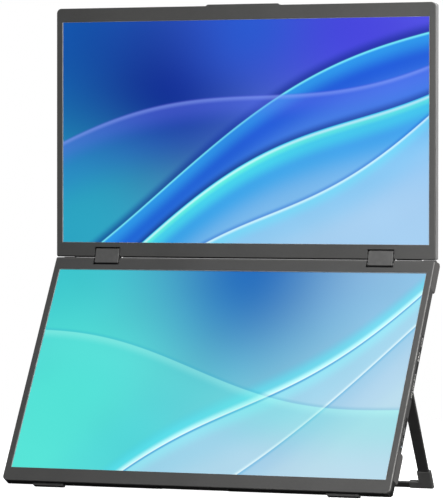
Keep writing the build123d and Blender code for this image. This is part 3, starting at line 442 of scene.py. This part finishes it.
def lower_picture(t, u, v):
    c = corners(t, u, v, srgb(56, 194, 204), srgb(150, 192, 226), srgb(90, 228, 214), srgb(180, 220, 232))
    c = glow(t, c, u, v, 0.52, 1.02, 0.26, 0.60, srgb(26, 100, 184), 0.96)
    c = glow(t, c, u, v, 0.10, 0.36, 0.28, 0.48, srgb(84, 230, 216), 0.75)
    c = glow(t, c, u, v, 0.36, 0.06, 0.22, 0.34, srgb(62, 206, 212), 0.60)
    # a pale sheet that fills the lower right, its edge climbing from the bottom to the top right
    d = t.math("SUBTRACT", wave(t, u, -0.62, 1.62, 0.13, 5.4, 0.0), v)
    c = sheet_of_light(t, c, d, [
        (0.00, a(srgb(40, 170, 214), 0.0)), (0.380, a(srgb(56, 196, 226), 0.12)), (0.460, a(srgb(84, 222, 240), 0.62)),
        (0.492, a(srgb(190, 250, 252), 0.98)), (0.499, a(srgb(232, 255, 255), 1.0)), (0.505, a(srgb(60, 160, 216), 0.95)),
        (0.520, a(srgb(150, 226, 242), 0.94)), (0.60, a(srgb(158, 208, 232), 0.92)), (0.80, a(srgb(176, 210, 232), 0.90)),
        (1.00, a(srgb(184, 216, 232), 0.90))], 0.50)
    # a second crease inside the pale sheet
    d = t.math("SUBTRACT", wave(t, u, -0.98, 1.72, 0.08, 5.4, 0.9), v)
    c = sheet_of_light(t, c, d, [
        (0.00, a(srgb(150, 214, 236), 0.0)), (0.460, a(srgb(176, 226, 240), 0.15)), (0.496, a(srgb(226, 248, 252), 0.85)),
        (0.502, a(srgb(112, 182, 222), 0.85)), (0.54, a(srgb(150, 198, 228), 0.55)), (0.80, a(srgb(170, 206, 230), 0.25)),
        (1.00, a(srgb(176, 212, 230), 0.0))], 0.34)
    # a long low fold across the left
    d = t.math("SUBTRACT", wave(t, u, 0.64, -0.30, 0.07, 5.4, 0.8), v)
    c = sheet_of_light(t, c, d, [
        (0.00, a(srgb(60, 196, 206), 0.0)), (0.470, a(srgb(44, 172, 200), 0.0)), (0.497, a(srgb(40, 164, 200), 0.30)),
        (0.504, a(srgb(150, 246, 236), 0.45)), (0.58, a(srgb(96, 228, 220), 0.32)), (1.00, a(srgb(80, 214, 214), 0.0))], 0.32)
    return c


# ---------------------------------------------------------- give out looks
GREY = (0.060, 0.060, 0.0595, 1.0)


BLACK = (0.0075, 0.0075, 0.0078, 1.0)


def inside(t, v, a, b, soft=0.00008):
    "1 where a < v < b"
    return t.math("MULTIPLY", t.remap(v, a - soft, a + soft, 0.0, 1.0), t.remap(v, b - soft, b + soft, 1.0, 0.0))


def beside_hinge(t, x, half):
    return t.remap(t.math("ABSOLUTE", t.math("SUBTRACT", t.math("ABSOLUTE", x), 0.1969)), half - 0.0001, half + 0.0001, 1.0, 0.0)


def lower_painted_shade(t, c):
    """painted shade: black along the bottom edge and the lower side corners, in the hinge notches and over the socket
    rows
    """
    x, y, z = t.separate(t.obj)
    rel = t.vsub(t.obj, tuple(LOW_O))
    s = t.dot(rel, tuple(LOW_UP))
    d = t.dot(rel, tuple(LOW_BACK))
    # painted shade: the underside along the bottom edge is painted black
    c = t.mix(t.remap(s, -0.3151, -0.3143, 1.0, 0.0), c, BLACK)
    # painted shade inside the hinge notches
    notch = t.math("MULTIPLY", beside_hinge(t, x, 0.0192), inside(t, s, 0.0060, 0.0250))
    notch = t.math("MULTIPLY", notch, t.remap(d, 0.0133, 0.0135, 1.0, 0.0))
    c = t.mix(notch, c, BLACK)
    # painted shade over the socket rows of the right side wall, standing in for the dark openings
    side = t.remap(x, 0.27175, 0.27185, 0.0, 1.0)
    rows = t.math("MAXIMUM", inside(t, s, -0.1790, -0.0870), inside(t, s, -0.2490, -0.2050))
    panel = t.math("MULTIPLY", t.math("MULTIPLY", side, rows), inside(t, d, 0.0070, 0.0130))
    c = t.mix(panel, c, BLACK)
    # painted shade at the bottom corners of the side walls
    corner = t.math("MULTIPLY", t.remap(s, -0.2952, -0.2950, 1.0, 0.0), t.remap(d, 0.0040, 0.0042, 0.0, 1.0))
    corner = t.math("MULTIPLY", corner, t.remap(t.math("ABSOLUTE", x), 0.2700, 0.2704, 0.0, 1.0))
    return t.mix(corner, c, BLACK)


def upper_painted_shade(t, c):
    """painted shade: dark inside the hinge notches and on the bead along the bottom"""
    x, y, z = t.separate(t.obj)
    rel = t.vsub(t.obj, tuple(UP_O))
    rx, d, s = t.separate(rel)
    # painted shade in the notches and on the bead, where the bottom edge lies in shadow
    notch = t.math("MULTIPLY", beside_hinge(t, x, 0.0192), t.remap(s, -0.0056, -0.0054, 1.0, 0.0))
    notch = t.math("MULTIPLY", notch, t.remap(d, 0.0122, 0.0124, 1.0, 0.0))
    bead = t.math("MULTIPLY", t.remap(s, -0.0196, -0.0194, 1.0, 0.0), t.remap(d, 0.0119, 0.0121, 1.0, 0.0))
    return t.mix(t.math("MAXIMUM", notch, bead), c, BLACK)


def hinge_painted_shade(t, c):
    "the blocks' lower end, hidden in the notch, is left black and their sides are a little darker"
    rel = t.vsub(t.obj, (0.0, 0.0715268, 0.2928086))
    h = t.dot(rel, (0.0, 0.25654, 0.96653))
    x, y, z = t.separate(t.obj)
    side = t.math("SUBTRACT", 1.0, beside_hinge(t, x, 0.0169))
    # painted shade: the block sides darker, as in the gaps beside the notch walls
    c = t.mix(t.math("MULTIPLY", side, 0.6), c, (0.034, 0.034, 0.034, 1.0))
    # painted shade: black below the block's lower front, a shadow gap
    return t.mix(t.remap(h, -0.0028, -0.0023, 1.0, 0.0), c, BLACK)


def low_bezel_painted_light(t, c):
    """painted highlight on the outer edge on the right and along the top; painted shade behind the top edge and at the
    notches
    """
    x, y, z = t.separate(t.obj)
    rel = t.vsub(t.obj, tuple(LOW_O))
    s = t.dot(rel, tuple(LOW_UP))
    d = t.dot(rel, tuple(LOW_BACK))
    # patchy strength for the painted highlights below
    highlight_patches = t.remap(t.noise(t.obj, 70.0, 3.0, 0.6), 0.35, 0.62, 0.55, 1.0)
    # painted highlight on the right outer front edge
    rim = t.math("MULTIPLY", t.remap(x, 0.2711, 0.2716, 0.0, 1.0), t.remap(d, 0.0013, 0.0018, 1.0, 0.0))
    rim = t.math("MULTIPLY", rim, t.remap(s, 0.016, 0.018, 1.0, 0.0))
    c = t.mix(t.math("MULTIPLY", rim, highlight_patches), c, (0.185, 0.183, 0.180, 1.0))
    # painted highlight along the top edge
    top = t.math("MULTIPLY", t.remap(s, 0.0158, 0.0166, 0.0, 1.0), highlight_patches)
    c = t.mix(top, c, (0.096, 0.095, 0.094, 1.0))
    # painted shade: a dark line at the top edge, under the upper display
    c = t.mix(t.remap(s, 0.0174, 0.0178, 0.0, 1.0), c, (0.018, 0.018, 0.018, 1.0))
    # painted shade at the notch floors
    notch = t.math("MULTIPLY", beside_hinge(t, x, 0.0190), t.remap(s, 0.0074, 0.0077, 0.0, 1.0))
    return t.mix(notch, c, BLACK)


def up_bezel_painted_shade(t, c):
    """painted shade: a dark line along the bottom edge, where it faces down into shadow"""
    x, y, z = t.separate(t.obj)
    s = t.math("SUBTRACT", z, UP_O.z)
    return t.mix(t.remap(s, -0.0187, -0.0183, 1.0, 0.0), c, (0.012, 0.012, 0.012, 1.0))


MATS = {
    "low_bezel": moulded("lower_bezel_plastic", GREY, extra=low_bezel_painted_light),
    "up_bezel": moulded("upper_bezel_plastic", GREY, extra=up_bezel_painted_shade),
    "lower_shell": moulded("lower_shell_plastic", (0.042, 0.042, 0.042, 1), spec=0.30, extra=lower_painted_shade),
    "upper_shell": moulded("upper_shell_plastic", (0.18, 0.18, 0.182, 1), rough=0.45, edge_k=1.25, mottle=0.04, extra=upper_painted_shade),
    "hinge": coated("hinge_cover_coat", (0.085, 0.085, 0.085, 1), extra=hinge_painted_shade),
    "guard": moulded("guard_plastic", (0.073, 0.071, 0.070, 1), edge_k=1.5),
    "stand": coated("stand_coat", (0.020, 0.020, 0.020, 1), spec=0.36, edge_k=2.2),
    "shoe": soft_rubber("shoe_rubber", (0.060, 0.060, 0.060, 1)),
    "feet": soft_rubber("foot_rubber", (0.045, 0.045, 0.045, 1)),
    "black": moulded("black_plastic", (0.014, 0.014, 0.014, 1), rough=0.45, edge_k=2.2),
    "key": moulded("key_plastic", (0.060, 0.060, 0.060, 1), rough=0.24, spec=0.7, edge_k=3.0),
    "steel": metal("steel", (0.55, 0.55, 0.55, 1), 0.34),
    "plated": metal("plated_steel", (0.72, 0.71, 0.69, 1), 0.24),
    "aluminium": metal("sheet_aluminium", (0.72, 0.73, 0.74, 1), 0.36),
    "brass": metal("brass", (0.72, 0.52, 0.24, 1), 0.3),
    "board": circuit("circuit_board", (0.010, 0.085, 0.045, 1)),
    "optical": optical("optical_sheet", (0.86, 0.87, 0.88, 1)),
    "pipe": pipe_glow("light_pipe"),
    "up_screen": display("upper_display_picture", UP_O, Vector((0, 0, 1)), 0.0, upper_picture),
    "low_screen": display("lower_display_picture", LOW_O, LOW_UP, 1.0, lower_picture),
}

LOOK = {
    "lower_bezel": "low_bezel", "upper_bezel": "up_bezel", "lower_rear_cover": "lower_shell", "upper_rear_cover": "upper_shell",
    "lower_lcd_panel": "low_screen", "upper_lcd_panel": "up_screen",
    "hinge_front_covers": "hinge", "hinge_rear_covers": "hinge", "back_guards": "guard", "bottom_feet": "feet",
    "stand_brackets": "stand", "left_stand_leg": "stand", "right_stand_leg": "stand", "stand_crossbar": "stand",
    "stand_foot_caps": "shoe", "power_key": "key", "menu_rocker": "key", "audio_jack": "black", "key_switches": "black",
    "main_board_chips": "black", "left_speaker": "black", "right_speaker": "black",
    "lower_flat_cable": "black", "upper_flat_cable": "black", "hdmi_sockets": "plated", "usb_c_sockets": "plated",
    "vesa_inserts": "brass", "idler_gears_lower": "brass", "idler_gears_upper": "brass",
    "heat_spreader": "aluminium", "lower_backlight_tray": "aluminium", "upper_backlight_tray": "aluminium",
    "main_board": "board", "lower_timing_board": "board", "upper_timing_board": "board",
    "lower_led_strip": "board", "upper_led_strip": "board",
    "lower_diffuser": "optical", "upper_diffuser": "optical", "lower_light_guide": "optical", "upper_light_guide": "optical",
    "status_light_pipe": "pipe",
}
for name, obj in NODES.items():
    mat = MATS[LOOK.get(name, "steel")]
    obj.data.materials.clear()
    obj.data.materials.append(mat)


# ------------------------------------------------------------ mesh pieces
def new_piece(name, verts, faces, mat, body, smooth=False):
    me = bpy.data.meshes.new(name)
    me.from_pydata([tuple(v) for v in verts], [], faces)
    me.validate()
    bm = bmesh.new()
    bm.from_mesh(me)
    bmesh.ops.recalc_face_normals(bm, faces=bm.faces)
    bm.to_mesh(me)
    bm.free()
    ob = bpy.data.objects.new(name, me)
    scene.collection.objects.link(ob)
    me.materials.append(mat)
    for p in me.polygons:
        p.use_smooth = smooth
    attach(ob, body)
    return ob


def loop_tube(sections, closed_section=True):
    "faces of a ring made of equal sections joined one to the next and back to the first"
    n, m = len(sections), len(sections[0])
    verts = [p for sec in sections for p in sec]
    faces = []
    for i in range(n):
        j = (i + 1) % n
        for k in range(m if closed_section else m - 1):
            l = (k + 1) % m
            faces.append((i * m + k, j * m + k, j * m + l, i * m + l))
    return verts, faces


def screen_ring(name, place, s0, body):
    """thin polished lip inside the bezel window, mitred at its corners, rounded in front, coloured light grey as a
    painted highlight along the window edge
    """
    hw, hh = ACT_W / 2, ACT_H / 2
    cx, cs = 0.0, s0 + hh
    # section: (outwards from the active edge, depth)
    prof = [(0.02, 1.66), (0.02, 0.42), (0.10, 0.24), (0.22, 0.16), (0.34, 0.14), (0.38, 0.20), (0.38, 1.66)]
    secs = []
    for sx, sz in ((-1, -1), (1, -1), (1, 1), (-1, 1)):
        secs.append([place(cx + sx * (hw + o), d, cs + sz * (hh + o)) for o, d in prof])
    v, f = loop_tube(secs)
    return new_piece(name, v, f, MATS["lip"], body)


# light grey lip colour: a painted highlight along the window edge
MATS["lip"] = moulded("window_lip", (0.30, 0.31, 0.32, 1), rough=0.3, grain=2600.0, depth=0.00001)
screen_ring("lower_window_lip", low, -ACT_H, "lower_display")
screen_ring("upper_window_lip", up, 0.0, "upper_display")

# ------------------------------------------------------------------ floor
floor_me = bpy.data.meshes.new("floor")
bm = bmesh.new()
bmesh.ops.create_grid(bm, x_segments=1, y_segments=1, size=4.0)
bm.to_mesh(floor_me)
bm.free()
floor = bpy.data.objects.new("floor", floor_me)
scene.collection.objects.link(floor)
floor.location = (0, 0, -0.0002)
t = Tree("studio_floor")
fx, fy, fz = t.separate(t.obj)
r = t.math("SQRT", t.math("ADD", t.math("MULTIPLY", fx, fx), t.math("MULTIPLY", fy, fy)))
fade = t.remap(r, 0.45, 1.5, 1.0, 0.0, True)
grain = t.noise(t.obj, 30.0, 2.0)
pale = t.nt.nodes.new("ShaderNodeBsdfDiffuse")
t.link(t.mix(grain, (0.90, 0.90, 0.90, 1), (0.93, 0.93, 0.93, 1)), pale.inputs["Color"])
lift = t.nt.nodes.new("ShaderNodeEmission")
lift.inputs["Strength"].default_value = 0.80
look = t.nt.nodes.new("ShaderNodeAddShader")
t.link(pale.outputs[0], look.inputs[0])
t.link(lift.outputs[0], look.inputs[1])
dim = t.nt.nodes.new("ShaderNodeBsdfDiffuse")
dim.inputs["Color"].default_value = (0.10, 0.10, 0.10, 1)
path = t.nt.nodes.new("ShaderNodeLightPath")
pick = t.nt.nodes.new("ShaderNodeMixShader")
t.link(path.outputs["Is Camera Ray"], pick.inputs[0])
t.link(dim.outputs[0], pick.inputs[1])
t.link(look.outputs[0], pick.inputs[2])
clear = t.nt.nodes.new("ShaderNodeBsdfTransparent")
both = t.nt.nodes.new("ShaderNodeMixShader")
t.link(fade, both.inputs[0])
t.link(clear.outputs[0], both.inputs[1])
t.link(pick.outputs[0], both.inputs[2])
t.link(both.outputs[0], t.out.inputs["Surface"])
t.nt.nodes.remove(t.p)
floor_me.materials.append(t.m)


# ----------------------------------------------------------------- lights
def area(name, loc, target, size, power, colour=(1, 1, 1), spread=180.0):
    ld = bpy.data.lights.new(name, "AREA")
    ld.shape = "RECTANGLE"
    ld.size, ld.size_y = size
    ld.energy = power
    ld.color = colour
    ld.spread = math.radians(spread)
    ob = bpy.data.objects.new(name, ld)
    scene.collection.objects.link(ob)
    ob.location = loc
    ob.rotation_euler = (Vector(target) - Vector(loc)).to_track_quat("-Z", "Y").to_euler()
    ob.visible_camera = False
    return ob


area("key", (1.05, -0.88, 0.74), (0.10, 0.0, 0.32), (0.7, 0.7), 32.0, (1.0, 0.985, 0.965))
area("fill", (-1.9, -2.4, 1.2), (0.0, 0.0, 0.30), (2.0, 2.0), 3.5, (0.97, 0.985, 1.0))
area("rim", (1.0, 0.75, 1.25), (0.27, 0.03, 0.35), (0.5, 0.7), 2.3)
area("top_rim", (0.75, 0.35, 0.98), (0.272, 0.06, 0.60), (0.3, 0.3), 0.75, spread=70.0)
area("back", (-0.6, 2.2, 1.8), (0.0, 0.0, 0.30), (2.0, 1.4), 40.0)
area("side_card", (0.62, 0.93, 0.11), (0.272, 0.0, 0.13), (0.34, 0.24), 0.27)

world = bpy.data.worlds.new("studio")
scene.world = world
world.use_nodes = True
wn = world.node_tree
wn.nodes.clear()
wo = wn.nodes.new("ShaderNodeOutputWorld")
lp = wn.nodes.new("ShaderNodeLightPath")
seen = wn.nodes.new("ShaderNodeBackground")
seen.inputs["Color"].default_value = (1, 1, 1, 1)
seen.inputs["Strength"].default_value = 1.0
lit = wn.nodes.new("ShaderNodeBackground")
lit.inputs["Color"].default_value = (0.97, 0.985, 1.0, 1)
aim = wn.nodes.new("ShaderNodeTexCoord")
parts = wn.nodes.new("ShaderNodeSeparateXYZ")
wn.links.new(aim.outputs["Generated"], parts.inputs[0])
sky = wn.nodes.new("ShaderNodeMapRange")
sky.interpolation_type = "SMOOTHSTEP"
for key, v in (("From Min", -0.12), ("From Max", 0.55), ("To Min", 0.05), ("To Max", 0.24)):
    sky.inputs[key].default_value = v
wn.links.new(parts.outputs[2], sky.inputs["Value"])
wn.links.new(sky.outputs[0], lit.inputs["Strength"])
mx = wn.nodes.new("ShaderNodeMixShader")
wn.links.new(lp.outputs["Is Camera Ray"], mx.inputs[0])
wn.links.new(lit.outputs[0], mx.inputs[1])
wn.links.new(seen.outputs[0], mx.inputs[2])
wn.links.new(mx.outputs[0], wo.inputs["Surface"])

scene.view_settings.view_transform = "Standard"
scene.view_settings.look = "None"
scene.view_settings.exposure = 0.0
scene.view_settings.gamma = 1.0
